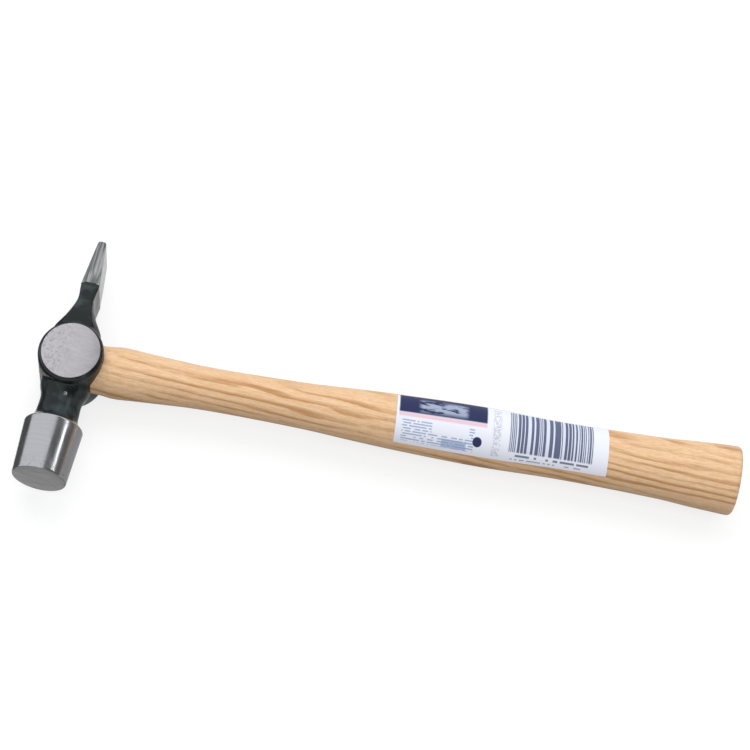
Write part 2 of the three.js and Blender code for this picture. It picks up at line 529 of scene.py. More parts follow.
@dataclass(frozen=True)
class GroundSteel:
    """Bare steel ground flat, with fine scratches that run one way.

    turn: degrees that the scratches are turned about Z.
    mottled: how much darker grinding marks show on it.
    mark_span: the places along X, in millimetres, between which those marks fade.
    """

    name: str
    pale: Colour = (0.61, 0.575, 0.60)
    dark: Colour = (0.27, 0.26, 0.275)
    turn: float = 35.0
    mottled: float = 0.6
    rough: float = 0.42
    stretch: Triple = (0.25, 3.2, 3.2)
    mark_span: Pair = (-9.0, 3.0)

    def make(self) -> bpy.types.Material:
        """Mixes the finish.

        Returns:
            The ground steel as a material.
        """
        g = Graph(self.name)
        scratches = g.noise(g.scaled(g.place, self.stretch, (0, 0, self.turn)), 1.0, 4, 0.65)
        chatter = g.noise(g.scaled(g.place, (1.5, 0.8, 1.0), (0, 0, -self.turn)), 1.0, 4, 0.7)
        side = g.between(g.split(g.place)[0], *self.mark_span, 1.0, 0.12)
        marks = g.math("MULTIPLY", g.between(chatter, 0.5, 0.62), side)
        marks = g.math("MULTIPLY", marks, self.mottled)
        tone = g.math("ADD", g.between(scratches, 0.3, 0.75, 0.22, 0.0), marks)
        g.relief(scratches, 0.03, 0.5)
        g.shader.inputs["Anisotropic"].default_value = 0.35
        roughness = g.between(scratches, 0.3, 0.7, self.rough, 0.3)
        return g.finish(g.mix(tone, self.pale, self.dark), roughness, 1.0)


@dataclass(frozen=True)
class PolishedSteel:
    """Bright turned and polished steel, with lathe lines round the poll.

    face: place of the striking face along Y, in millimetres.
    knocked: distances from that face between which the knocks of use fade.
    """

    face: float
    knocked: Pair = (0.6, 7.6)
    name: str = "polished_steel"
    pale: Colour = (0.50, 0.50, 0.52)
    dark: Colour = (0.34, 0.34, 0.355)

    def make(self) -> bpy.types.Material:
        """Mixes the finish.

        Returns:
            The polished steel as a material.
        """
        g = Graph(self.name)
        lines = g.noise(g.scaled(g.place, (0.06, 5.0, 0.06)), 1.0, 4, 0.6)
        smears = g.noise(g.scaled(g.place, (0.5, 0.14, 0.5)), 1.0, 3, 0.6)
        knocks = g.noise(g.scaled(g.place, (0.9, 1.6, 0.9)), 1.0, 2, 0.5)
        near, far = self.knocked
        worn = g.between(g.split(g.place)[1], self.face + near, self.face + far, 1.0, 0.0)
        marks = g.math("MULTIPLY", worn, g.between(knocks, 0.55, 0.62, 0.0, 0.45))
        tone = g.math("MULTIPLY_ADD", g.between(lines, 0.35, 0.7), 0.3, marks)
        g.relief(lines, 0.012, 0.35)
        g.shader.inputs["Anisotropic"].default_value = 0.3
        roughness = g.between(smears, 0.3, 0.7, 0.16, 0.26)
        return g.finish(g.mix(tone, self.pale, self.dark), roughness, 1.0)


@dataclass(frozen=True)
class PeinSteel:
    """Ground steel whose foot keeps a tongue of lacquer where the wheel stopped.

    root: place of the pein's foot along Y, in millimetres.
    middle: height of its middle.
    half_width: from its middle to each of its ground edges.
    edge_band: how far inside each edge its darker steel starts and is full.
    tongue: how far the lacquer reaches along it.
    tongue_spread: the square of the half width at which the tongue ends.
    """

    root: float
    middle: float
    half_width: float
    edge_band: Pair = (0.75, 0.25)
    name: str = "pein_steel"
    pale: Colour = (0.53, 0.53, 0.53)
    dark: Colour = (0.13, 0.13, 0.135)
    lacquer: Colour = (0.006, 0.0095, 0.0105)
    tongue: float = 1.1
    tongue_spread: float = 14.0

    def make(self) -> bpy.types.Material:
        """Mixes the finish.

        Returns:
            The pein's steel as a material.
        """
        g = Graph(self.name)
        x, y, z = g.split(g.place)
        grind = g.noise(g.scaled(g.place, (2.6, 0.2, 2.6)), 1.0, 4, 0.65)
        streak = g.noise(g.scaled(g.place, (1.0, 0.07, 1.0)), 1.0, 2)
        edge = g.noise(g.place, 0.9, 3)
        fall = -self.tongue / self.tongue_spread
        arch = g.math("MULTIPLY_ADD", g.math("MULTIPLY", x, x), fall, self.tongue)
        line = g.math("ADD", g.between(edge, 0.3, 0.7, -0.25, 0.25), self.root)
        begun, full = (self.half_width - inside for inside in self.edge_band)
        on_edge = g.between(g.math("ABSOLUTE", g.math("SUBTRACT", z, self.middle)), begun, full)
        line = g.math("MULTIPLY_ADD", arch, on_edge, line)
        bare = g.between(g.math("SUBTRACT", y, line), -0.12, 0.12)
        depth = g.math("MULTIPLY_ADD", on_edge, 0.38, 0.3)
        fine = g.between(grind, 0.3, 0.75, 0.3, 0.0)
        tone = g.math("MULTIPLY_ADD", g.between(streak, 0.4, 0.6), depth, fine)
        steel = g.mix(tone, self.pale, self.dark)
        g.relief(grind, 0.03, 0.5)
        return g.finish(g.mix(bare, self.lacquer, steel), g.between(grind, 0.3, 0.7, 0.4, 0.28), bare)


@dataclass(frozen=True)
class AshWood:
    """Sanded ash: pale summer wood between darker rows of open pores.

    pith: Y and Z of the tree's centre line, in millimetres, which gives the rings their curve.
    ring: millimetres from one ring to the next.
    slope: how much the rings lean across the handle for each millimetre along it.
    wander: how far they stray in long waves, in millimetres.
    ripple: how far they stray in short waves, in millimetres.
    """

    name: str = "ash_wood"
    pale: Colour = (0.86, 0.595, 0.375)
    warm: Colour = (0.75, 0.46, 0.24)
    brown: Colour = (0.46, 0.22, 0.075)
    pith: Pair = (-30.0, -22.0)
    ring: float = 2.5
    slope: float = 0.045
    wander: float = 9.0
    ripple: float = 1.5

    def make(self) -> bpy.types.Material:
        """Mixes the finish.

        Returns:
            The wood as a material.
        """
        g = Graph(self.name)
        wander = g.noise(g.scaled(g.place, (0.011, 0.06, 0.06)), 1.0, 2, 0.5)
        ripple = g.noise(g.scaled(g.place, (0.06, 0.5, 0.5)), 1.0, 3, 0.55)
        x, y, z = g.split(g.place)
        off_y = g.math("MULTIPLY_ADD", x, self.slope, g.math("SUBTRACT", y, self.pith[0]))
        off_z = g.math("SUBTRACT", z, self.pith[1])
        squares = g.math("ADD", g.math("MULTIPLY", off_y, off_y), g.math("MULTIPLY", off_z, off_z))
        reach = g.math("MULTIPLY_ADD", wander, self.wander, g.math("SQRT", squares))
        rings = g.math("DIVIDE", g.math("MULTIPLY_ADD", ripple, self.ripple, reach), self.ring)
        phase = g.math("FRACT", rings)
        early = g.math("MULTIPLY", g.between(phase, 0.0, 0.1), g.between(phase, 0.2, 0.62, 1.0, 0.0))
        pores = g.noise(g.scaled(g.place, (0.16, 4.4, 4.4)), 1.0, 2, 0.6)
        in_rows = g.math("MULTIPLY_ADD", early, 0.8, 0.2)
        open_pores = g.math("MULTIPLY", g.between(pores, 0.56, 0.66), in_rows)
        fibre = g.noise(g.scaled(g.place, (0.05, 2.4, 2.4)), 1.0, 3, 0.6)
        stain = g.noise(g.scaled(g.place, (0.012, 0.16, 0.16)), 1.0, 3, 0.6)
        flecks = g.noise(g.scaled(g.place, (0.42, 2.1, 2.1)), 1.0, 3, 0.7)
        threads = g.between(fibre, 0.35, 0.7, 0.0, 0.55)
        tone = g.math("MULTIPLY_ADD", g.between(flecks, 0.42, 0.62), 0.55, threads)
        colour = g.mix(tone, self.pale, self.warm)
        patch = g.math("MULTIPLY", early, g.between(stain, 0.42, 0.62, 0.1, 0.85))
        colour = g.mix(patch, colour, self.brown)
        colour = g.mix(g.math("MULTIPLY", open_pores, 0.6), colour, self.brown)
        relief = g.math("MULTIPLY_ADD", open_pores, -1.0, g.math("MULTIPLY", fibre, 0.35))
        g.relief(relief, 0.05, 0.6)
        g.shader.inputs["Specular IOR Level"].default_value = 0.3
        return g.finish(colour, g.between(fibre, 0.3, 0.7, 0.42, 0.56))


@dataclass(frozen=True)
class WedgeWood:
    """Split hardwood of the wedge, whose fibres run along it."""

    name: str = "wedge_wood"
    pale: Colour = (0.62, 0.38, 0.2)
    dark: Colour = (0.33, 0.17, 0.075)

    def make(self) -> bpy.types.Material:
        """Mixes the finish.

        Returns:
            The wedge's wood as a material.
        """
        g = Graph(self.name)
        fibre = g.noise(g.scaled(g.place, (0.12, 3.0, 3.0)), 1.0, 4, 0.6)
        rays = g.noise(g.scaled(g.place, (0.3, 0.6, 4.0)), 1.0, 2)
        tone = g.math("MULTIPLY_ADD", g.between(rays, 0.5, 0.65), 0.3, g.between(fibre, 0.3, 0.7, 0.0, 0.6))
        g.relief(fibre, 0.06, 0.7)
        return g.finish(g.mix(tone, self.pale, self.dark), g.between(fibre, 0.3, 0.7, 0.6, 0.75))


@dataclass(frozen=True)
class PrintedPaper:
    """A coated paper label with plain printed shapes and no lettering.

    An area is its left, right, top and bottom, as shares of the label's length from the head end and
    of its width from the upper edge. The dot's place and half sizes are such shares too.
    """

    name: str = "printed_paper"
    paper: Colour = (0.83, 0.85, 0.93)
    navy: Colour = (0.018, 0.025, 0.09)
    slate: Colour = (0.05, 0.065, 0.15)
    wash: Colour = (0.28, 0.37, 0.60)
    pale_wash: Colour = (0.50, 0.58, 0.74)
    blush: Colour = (0.78, 0.48, 0.56)
    header: Area = (0.012, 0.425, 0.0, 0.42)
    smear: Area = (0.11, 0.33, 0.12, 0.37)
    stripe: Area = (0.012, 0.425, 0.43, 0.49)
    small_print: Area = (0.03, 0.37, 0.53, 0.92)
    clear_area: Area = (0.17, 0.345, 0.5, 0.71)
    washed_area: Area = (0.22, 0.335, 0.77, 0.92)
    column: Area = (0.455, 0.492, 0.06, 0.93)
    bar_area: Area = (0.535, 0.928, 0.05, 0.81)
    foot: Area = (0.545, 0.92, 0.83, 0.94)
    dot: Pair = (0.385, 0.74)
    dot_size: Pair = (0.022, 0.085)

    def make(self) -> bpy.types.Material:
        """Mixes the finish.

        Returns:
            The label's print as a material.
        """
        g = Graph(self.name)
        u, v, _ = g.split(g.add("ShaderNodeUVMap", uv_map="print").outputs[0])
        ink = g.noise(g.place, 3.0, 3, 0.6)

        def patch(area: Area, soft: float = 0.004) -> Socket:
            """Marks a rectangle.

            Args:
                area: the rectangle.
                soft: half the width of its soft edges.

            Returns:
                1 inside it and 0 outside.
            """
            left, right, top, bottom = area
            within = []
            for value, low, high, edge in ((u, left, right, soft), (v, top, bottom, 4 * soft)):
                begun = g.between(value, low - edge, low + edge)
                within.append(g.math("MULTIPLY", begun, g.between(value, high - edge, high + edge, 1, 0)))
            return g.math("MULTIPLY", *within)

        def dashes(columns: float, rows: float, fill: float) -> Socket:
            """Makes rows of short uneven dashes, which stand for small print.

            Args:
                columns: cells along the label.
                rows: rows down it.
                fill: share of the cells that are inked.

            Returns:
                1 on a dash and 0 elsewhere.
            """
            row = g.math("MULTIPLY", v, rows)
            cell = g.add("ShaderNodeCombineXYZ")
            g.feed(cell.inputs[0], g.math("FLOOR", g.math("MULTIPLY", u, columns)))
            g.feed(cell.inputs[1], g.math("FLOOR", row))
            chance = g.add("ShaderNodeTexWhiteNoise", noise_dimensions="2D")
            g.feed(chance.inputs["Vector"], cell.outputs[0])
            filled = g.math("LESS_THAN", chance.outputs[0], fill)
            return g.math("MULTIPLY", filled, g.between(g.math("FRACT", row), 0.45, 0.55, 1, 0))

        def bars(columns: float, fill: float) -> Socket:
            """Makes upright bars of uneven width, in no code.

            Args:
                columns: cells along the label.
                fill: share of the cells that are inked.

            Returns:
                1 on a bar and 0 elsewhere.
            """
            chance = g.add("ShaderNodeTexWhiteNoise", noise_dimensions="1D")
            g.feed(chance.inputs["W"], g.math("FLOOR", g.math("MULTIPLY", u, columns)))
            return g.math("LESS_THAN", chance.outputs[0], fill)

        def over(below: object, share: Socket, strength: float, ink_colour: Colour) -> Socket:
            """One ink printed over what is there, at a strength from 0 to 1."""
            return g.mix(g.math("MULTIPLY", share, strength), below, ink_colour)

        colour = g.mix(patch(self.header), self.paper, self.navy)
        brush = g.noise(g.scaled(g.place, (0.22, 0.75, 0.75)), 1.0, 3, 0.6)
        smear = g.math("MULTIPLY", patch(self.smear, 0.014), g.between(brush, 0.38, 0.52))
        colour = over(colour, smear, 0.7, self.pale_wash)
        colour = over(colour, patch(self.stripe), 0.75, self.blush)
        text = g.math("MULTIPLY", patch(self.small_print), dashes(110, 22, 0.7))
        text = g.math("MULTIPLY", text, g.math("SUBTRACT", 1.0, patch(self.clear_area)))
        colour = over(colour, text, 0.85, self.wash)
        colour = over(colour, patch(self.washed_area), 0.7, self.wash)
        away_u, away_v = (
            g.math("DIVIDE", g.math("SUBTRACT", value, middle), size)
            for value, middle, size in zip((u, v), self.dot, self.dot_size)
        )
        away = g.math("ADD", g.math("MULTIPLY", away_u, away_u), g.math("MULTIPLY", away_v, away_v))
        colour = g.mix(g.between(away, 0.8, 1.1, 1.0, 0.0), colour, self.navy)
        column = g.math("MULTIPLY", patch(self.column), dashes(170, 60, 0.55))
        colour = over(colour, column, 0.55, self.slate)
        bar_area = patch(self.bar_area)
        colour = over(colour, bar_area, 0.25, self.wash)
        colour = over(colour, g.math("MULTIPLY", bar_area, bars(243, 0.6)), 0.9, self.slate)
        foot = g.math("MULTIPLY", patch(self.foot), dashes(90, 13, 0.62))
        colour = over(colour, foot, 0.8, self.slate)
        g.relief(g.noise(g.place, 0.5, 2), 0.04, 0.4)
        g.shader.inputs["Specular IOR Level"].default_value = 0.3
        return g.finish(colour, g.between(ink, 0.3, 0.7, 0.42, 0.55))


# ---- Head -------------------------------------------------------------------------------------


@dataclass
class HammerHead:
    """The forged and lacquered head, with its polished poll, ground cheeks and ground pein.

    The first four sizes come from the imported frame: the head's box gives them.

    web_rounding: how many times the web's size the oval has that rounds its corners, at the eye, and
        how much more at the pein.
    flare: (share of the way to the shoulder, share of the flare) pairs of the poll's neck.
    shoulder_rings: (distance past the shoulder, how much slimmer) pairs, from inside the lacquer out.
    overrun: how far a cutting tool passes what it cuts.
    """

    cheek_thickness: float
    face_reach: float
    pein_reach: float
    boss_depth: float
    boss_length: float = 23.2
    boss_edge: float = 1.75
    ground_off: float = 0.15
    eye_height: float = 14.7
    eye_width: float = 9.4
    poll_length: float = 19.3
    shoulder_diameter: float = 20.0
    face_diameter: float = 18.4
    face_chamfer: float = 0.4
    poll_neck_diameter: float = 14.3
    poll_neck_root: float = 8.4
    poll_neck_place: float = 0.57
    poll_neck_oval: float = 1.07
    flare: tuple[Pair, ...] = ((0.8, 0.14), (0.92, 0.52))
    shoulder_gap: float = 0.1
    shoulder_rings: tuple[Pair, ...] = ((-0.9, 0.8), (-0.5, 0.42), (-0.2, 0.14), (0.15, 0.0), (0.35, 0.01))
    pein_length: float = 17.8
    pein_width: float = 15.9
    pein_root_thickness: float = 6.4
    pein_edge_thickness: float = 2.8
    pein_edge_round: float = 0.9
    pein_offset: float = 0.4
    corner: float = 0.18
    web_thickness: float = 5.8
    web_width: float = 17.0
    web_shoulder: float = 10.2
    web_rounding: Pair = (1.13, 0.32)
    wall_step: float = 0.9
    lap: float = 0.3
    root_depth: float = 2.0
    root_step_down: float = 1.0
    neck_inset: float = 1.9
    dimple_radius: float = 0.95
    dimple_lift: float = 0.75
    dimple_place: Pair = (1.9, -14.6)
    pein_seat: float = 0.2
    overrun: float = 3.0
    voxel: float = 0.26

    @property
    def axis_height(self) -> float:
        """Height of the head's centre line."""
        return self.cheek_thickness / 2

    @property
    def poll_shoulder(self) -> float:
        """Distance from the eye's centre to the poll's shoulder."""
        return self.face_reach - self.poll_length

    @property
    def pein_root(self) -> float:
        """Distance from the eye's centre to the foot of the pein."""
        return self.pein_reach - self.pein_length

    @property
    def dimple_centre(self) -> Vector:
        """Middle, in metres, of the ball that sinks the dimple."""
        height = self.axis_height + self.poll_neck_diameter / 2 + self.dimple_lift
        return Vector((*self.dimple_place, height)) * MM

    def along_neck(self, share: float, end: float) -> float:
        """Place of a share of the way from the wall of the boss to a neck's end."""
        wall = self.boss_length / 2 - self.root_depth
        return wall + share * (end - wall)

    def boss(self, grow: float = 0.0, taller: float = 0.0) -> bpy.types.Object:
        """The round boss with rounded rims.

        Args:
            grow: how much wider it is all round.
            taller: how much further each cheek stands out.

        Returns:
            The boss as a closed solid.
        """
        half_height = self.cheek_thickness / 2 + taller
        item = primitive(
            "boss",
            bpy.ops.mesh.primitive_cylinder_add,
            vertices=128,
            radius=1.0,
            depth=2 * half_height * MM,
            location=(0, 0, self.axis_height * MM),
            scale=((self.boss_depth / 2 + grow) * MM, (self.boss_length / 2 + grow) * MM, 1.0),
        )
        apply_place(item)
        bpy.ops.object.mode_set(mode="EDIT")
        rims = [self.axis_height - half_height, self.axis_height + half_height]

        def on_rim(edge: bpy.types.MeshEdge) -> bool:
            """Whether an edge lies in one of the two rims."""
            ends = [item.data.vertices[k].co.z / MM for k in edge.vertices]
            return any(all(abs(end - rim) < 0.01 for end in ends) for rim in rims)

        pick(item, "EDGE", on_rim)
        bpy.ops.mesh.bevel(offset=(self.boss_edge + taller) * MM, segments=8, profile=0.5)
        bpy.ops.object.mode_set(mode="OBJECT")
        return item

    def neck_stations(self, rows: list[Triple], way: float, shift: float, steps: int) -> list[Station]:
        """Outlines along a neck, smoothly joined.

        Args:
            rows: (distance from the eye, half depth, half height) in order.
            way: 1 towards the pein, -1 towards the poll.
            shift: how far its end stands off the line of the eye, away from the handle.
            steps: how many steps there are along it.

        Returns:
            The outlines in order.
        """
        last = rows[-1][0]
        depths = [(at, half) for at, half, _ in rows]
        heights = [(at, half) for at, _, half in rows]
        stations = []
        for k in range(steps + 1):
            at = last * k / steps
            eased = min(1.0, at / (self.boss_length / 2))
            centre = (-shift * eased**2 * (3 - 2 * eased), way * at, self.axis_height)
            stations.append(Station(centre, (smooth_curve(depths, at), 1.0, smooth_curve(heights, at))))
        return stations

    def poll_neck(self) -> bpy.types.Object:
        """Draws out the round neck that flares to the poll.

        Returns:
            The neck as a closed solid.
        """
        depth, height = self.boss_depth / 2 - self.neck_inset, self.cheek_thickness / 2 - self.root_step_down
        thin, full = self.poll_neck_diameter / 2, self.shoulder_diameter / 2
        end = self.poll_shoulder
        rows = [
            (0.0, depth, height),
            (self.along_neck(0.0, end), self.poll_neck_root, height),
            (self.along_neck(self.poll_neck_place / 2, end), thin, thin * self.poll_neck_oval),
            (self.along_neck(self.poll_neck_place, end), thin, thin),
        ]
        for place, part in self.flare:
            half = thin + part * (full - thin)
            rows.append((self.along_neck(place, end), half, half))
        rows.append((end, full - self.shoulder_gap, full - self.shoulder_gap))
        stations = self.neck_stations(rows, -1.0, 0.0, 40)
        return draw_out("poll_neck", stations, Axis.ALONG_HEAD, 96)

    def web(self) -> bpy.types.Object:
        """Draws out the flat-sided neck that narrows to the pein, and rounds its corners at the boss.

        Returns:
            The neck as a closed solid.
        """
        depth, height = self.boss_depth / 2 - self.neck_inset, self.cheek_thickness / 2 - self.root_step_down
        foot, wide = self.pein_root, self.pein_width / 2
        thin, thick = self.web_thickness / 2, self.pein_root_thickness / 2
        rows = [
            (0.0, depth, height),
            (self.along_neck(0.0, foot), depth - self.wall_step, height),
            (self.along_neck(0.31, foot), self.web_shoulder / 2, height),
            (self.along_neck(0.66, foot), thin, self.web_width / 2),
            (self.along_neck(0.93, foot), (thin + thick) / 2, wide),
            (foot + self.lap, thick, wide),
        ]
        middle = self.axis_height
        item = block("web", (-depth, -1.0, middle - height), (depth, 0.0, middle + height))
        bpy.ops.object.mode_set(mode="EDIT")
        pick(item, "FACE", lambda face: face.normal.y > 0.9)
        stations = self.neck_stations(rows, 1.0, self.pein_offset, 44)
        draw_through(stations, Vector((depth, 1.0, height)) * MM)
        bpy.ops.object.mode_set(mode="OBJECT")
        tidy_normals(item)
        last = rows[-1][0]
        fuller = [(at, *self.round_out(at / last, half_u, half_v)) for at, half_u, half_v in rows]
        ovals = self.neck_stations(fuller, 1.0, self.pein_offset, 40)
        combine(item, Boolean.KEEP_COMMON, draw_out("web_round", ovals, Axis.ALONG_HEAD, 96))
        return item

    def round_out(self, share: float, half_u: float, half_v: float) -> tuple[float, float]:
        """Half sizes of an oval that rounds the web's corners near the boss and spares them at the pein."""
        more = self.web_rounding[0] + self.web_rounding[1] * share**1.5
        return half_u * more, half_v * (more - 0.05)

    def eye_tool(self) -> bpy.types.Object:
        """Draws out an oval bar that cuts the eye.

        Returns:
            The bar.
        """
        reach = self.boss_depth / 2 + self.overrun
        size = (1.0, self.eye_height / 2, self.eye_width / 2)
        ends = [Station((at, 0.0, self.axis_height), size) for at in (-reach, reach)]
        return draw_out("eye_tool", ends, Axis.ALONG_HANDLE, 96)

    def dimple_tool(self) -> bpy.types.Object:
        """Adds a small ball that sinks the hardness tester's dimple into the poll's neck.

        Returns:
            The ball.
        """
        add, radius, place = bpy.ops.mesh.primitive_uv_sphere_add, self.dimple_radius * MM, self.dimple_centre
        item = primitive("dimple", add, segments=48, ring_count=24, radius=radius, location=place)
        apply_place(item)
        return item

    def forging(self, lacquer: bpy.types.Material, ground: bpy.types.Material) -> bpy.types.Object:
        """The lacquered body: boss and necks melted into each other, with both cheeks ground flat.

        Args:
            lacquer: finish of the whole body.
            ground: finish of the two cheeks.

        Returns:
            The finished piece.
        """
        item = self.boss(taller=self.ground_off)
        item.name = "forged_head"
        combine(item, Boolean.JOIN, self.poll_neck())
        combine(item, Boolean.JOIN, self.web())
        combine(item, Boolean.CUT, self.eye_tool())
        apply_modifier(item, "REMESH", mode="VOXEL", voxel_size=self.voxel * MM)
        apply_modifier(item, "SMOOTH", factor=0.5, iterations=9)
        self.grind_cheeks(item)
        smooth(item, 35)
        coat(item, lacquer, ground)
        for face in item.data.polygons:
            height = face.center.z / MM
            on_cheek = min(abs(height), abs(height - self.cheek_thickness)) < 0.01
            face.material_index = int(on_cheek and abs(face.normal.z) > 0.99)
        return item

    def grind_cheeks(self, item: bpy.types.Object) -> None:
        """Cuts the body off flat at both cheeks.

        Args:
            item: the body.
        """
        only(item)
        bpy.ops.object.mode_set(mode="EDIT")
        for height, way in ((0.0, -1.0), (self.cheek_thickness, 1.0)):
            bpy.ops.mesh.select_all(action="SELECT")
            bpy.ops.mesh.bisect(
                plane_co=(0, 0, height * MM),
                plane_no=(0, 0, way),
                use_fill=True,
                clear_outer=True,
                threshold=0.0001 * MM,
            )
        bpy.ops.object.mode_set(mode="OBJECT")
        tidy_normals(item)

    def poll(self, polished: bpy.types.Material, ground: bpy.types.Material) -> bpy.types.Object:
        """Turns the poll, from its shoulder to the striking face.

        Args:
            polished: finish of its side.
            ground: finish of the striking face.

        Returns:
            The finished piece.
        """
        full, face = self.shoulder_diameter / 2, self.face_diameter / 2
        end, chamfer = self.face_reach, self.face_chamfer
        rows = [(self.poll_shoulder + past, full - slimmer) for past, slimmer in self.shoulder_rings]
        rows += [
            (self.poll_shoulder + self.poll_length / 2, (full + face) / 2),
            (end - chamfer * 1.2 - 0.25, face + 0.01),
            (end - chamfer * 1.2, face),
            (end - chamfer * 0.35, face - chamfer * 0.35),
            (end, face - chamfer * 1.2),
            (end, face / 2),
        ]
        stations = [Station((0.0, -at, self.axis_height), (half, 1.0, half)) for at, half in rows]
        item = draw_out("poll", stations, Axis.ALONG_HEAD, 128)
        smooth(item, 25)
        coat(item, polished, ground)
        for part in item.data.polygons:
            part.material_index = int(part.normal.y < -0.9)
        return item

    def pein(self, steel: bpy.types.Material) -> bpy.types.Object:
        """Shapes the ground wedge of the pein, with a rounded edge and crisp long corners.

        Args:
            steel: its finish.

        Returns:
            The finished piece.
        """
        foot = self.pein_root - self.pein_seat
        half_u, half_v = self.pein_root_thickness / 2, self.pein_width / 2
        low = (-self.pein_offset - half_u, foot, self.axis_height - half_v)
        high = (-self.pein_offset + half_u, self.pein_reach, self.axis_height + half_v)
        item = block("pein", low, high)
        bpy.ops.object.mode_set(mode="EDIT")
        pick(item, "FACE", lambda face: face.normal.y > 0.9)
        centre = Vector((-self.pein_offset, self.pein_reach, self.axis_height)) * MM
        thinner = self.pein_edge_thickness / self.pein_root_thickness
        bpy.ops.transform.resize(value=(thinner, 1.0, 1.0), center_override=centre)
        tip = self.pein_reach * MM

        def across_tip(edge: bpy.types.MeshEdge) -> bool:
            """Whether an edge is one of the two long ones of the tip."""
            first, second = (item.data.vertices[k].co for k in edge.vertices)
            return min(first.y, second.y) > tip - 1e-5 and abs(first.z - second.z) > 5 * MM

        pick(item, "EDGE", across_tip)
        bpy.ops.mesh.bevel(offset=self.pein_edge_round * MM, segments=6, profile=0.5)
        bpy.ops.object.mode_set(mode="OBJECT")
        sharp = math.radians(40)
        apply_modifier(
            item, "BEVEL", width=self.corner * MM, segments=3, limit_method="ANGLE", angle_limit=sharp
        )
        smooth(item, 30)
        coat(item, steel)
        return item

    def build(self) -> None:
        """Makes and dresses the three visible parts of the forging."""
        lacquer = Lacquer().make()
        cheek = GroundSteel("cheek_steel").make()
        # The striking face takes far darker greys than the cheeks' steel: painted shade, standing in for the
        # dim surroundings that the face reflects.
        face_shade_greys = {"pale": (0.215,) * 3, "dark": (0.14,) * 3}
        face = GroundSteel("shaded_face_steel", **face_shade_greys, turn=0.0, mottled=0.3, rough=0.55).make()
        forging = self.forging(lacquer, cheek)
        combine(forging, Boolean.CUT, self.dimple_tool())
        self.bare_dimple(forging)
        hand_over(forging, "black_lacquer", "hammer_head")
        hand_over(self.poll(PolishedSteel(-self.face_reach).make(), face), "bright_steel")
        pein_steel = PeinSteel(self.pein_root, self.axis_height, self.pein_width / 2).make()
        hand_over(self.pein(pein_steel), "bright_steel")

    def bare_dimple(self, item: bpy.types.Object) -> None:
        """Gives the dimple bare steel, where the tester broke the lacquer.

        Args:
            item: the forging, with its dimple cut.
        """
        steel = GroundSteel("dimple_steel", pale=(0.3, 0.32, 0.32), mottled=0.0, rough=0.45)
        item.data.materials.append(steel.make())
        for face in item.data.polygons:
            away = (face.center - self.dimple_centre).length
            if abs(away - self.dimple_radius * MM) < 0.03 * MM:
                face.material_index = len(item.data.materials) - 1


# ---- Handle, wedges and label --------------------------------------------------------------------


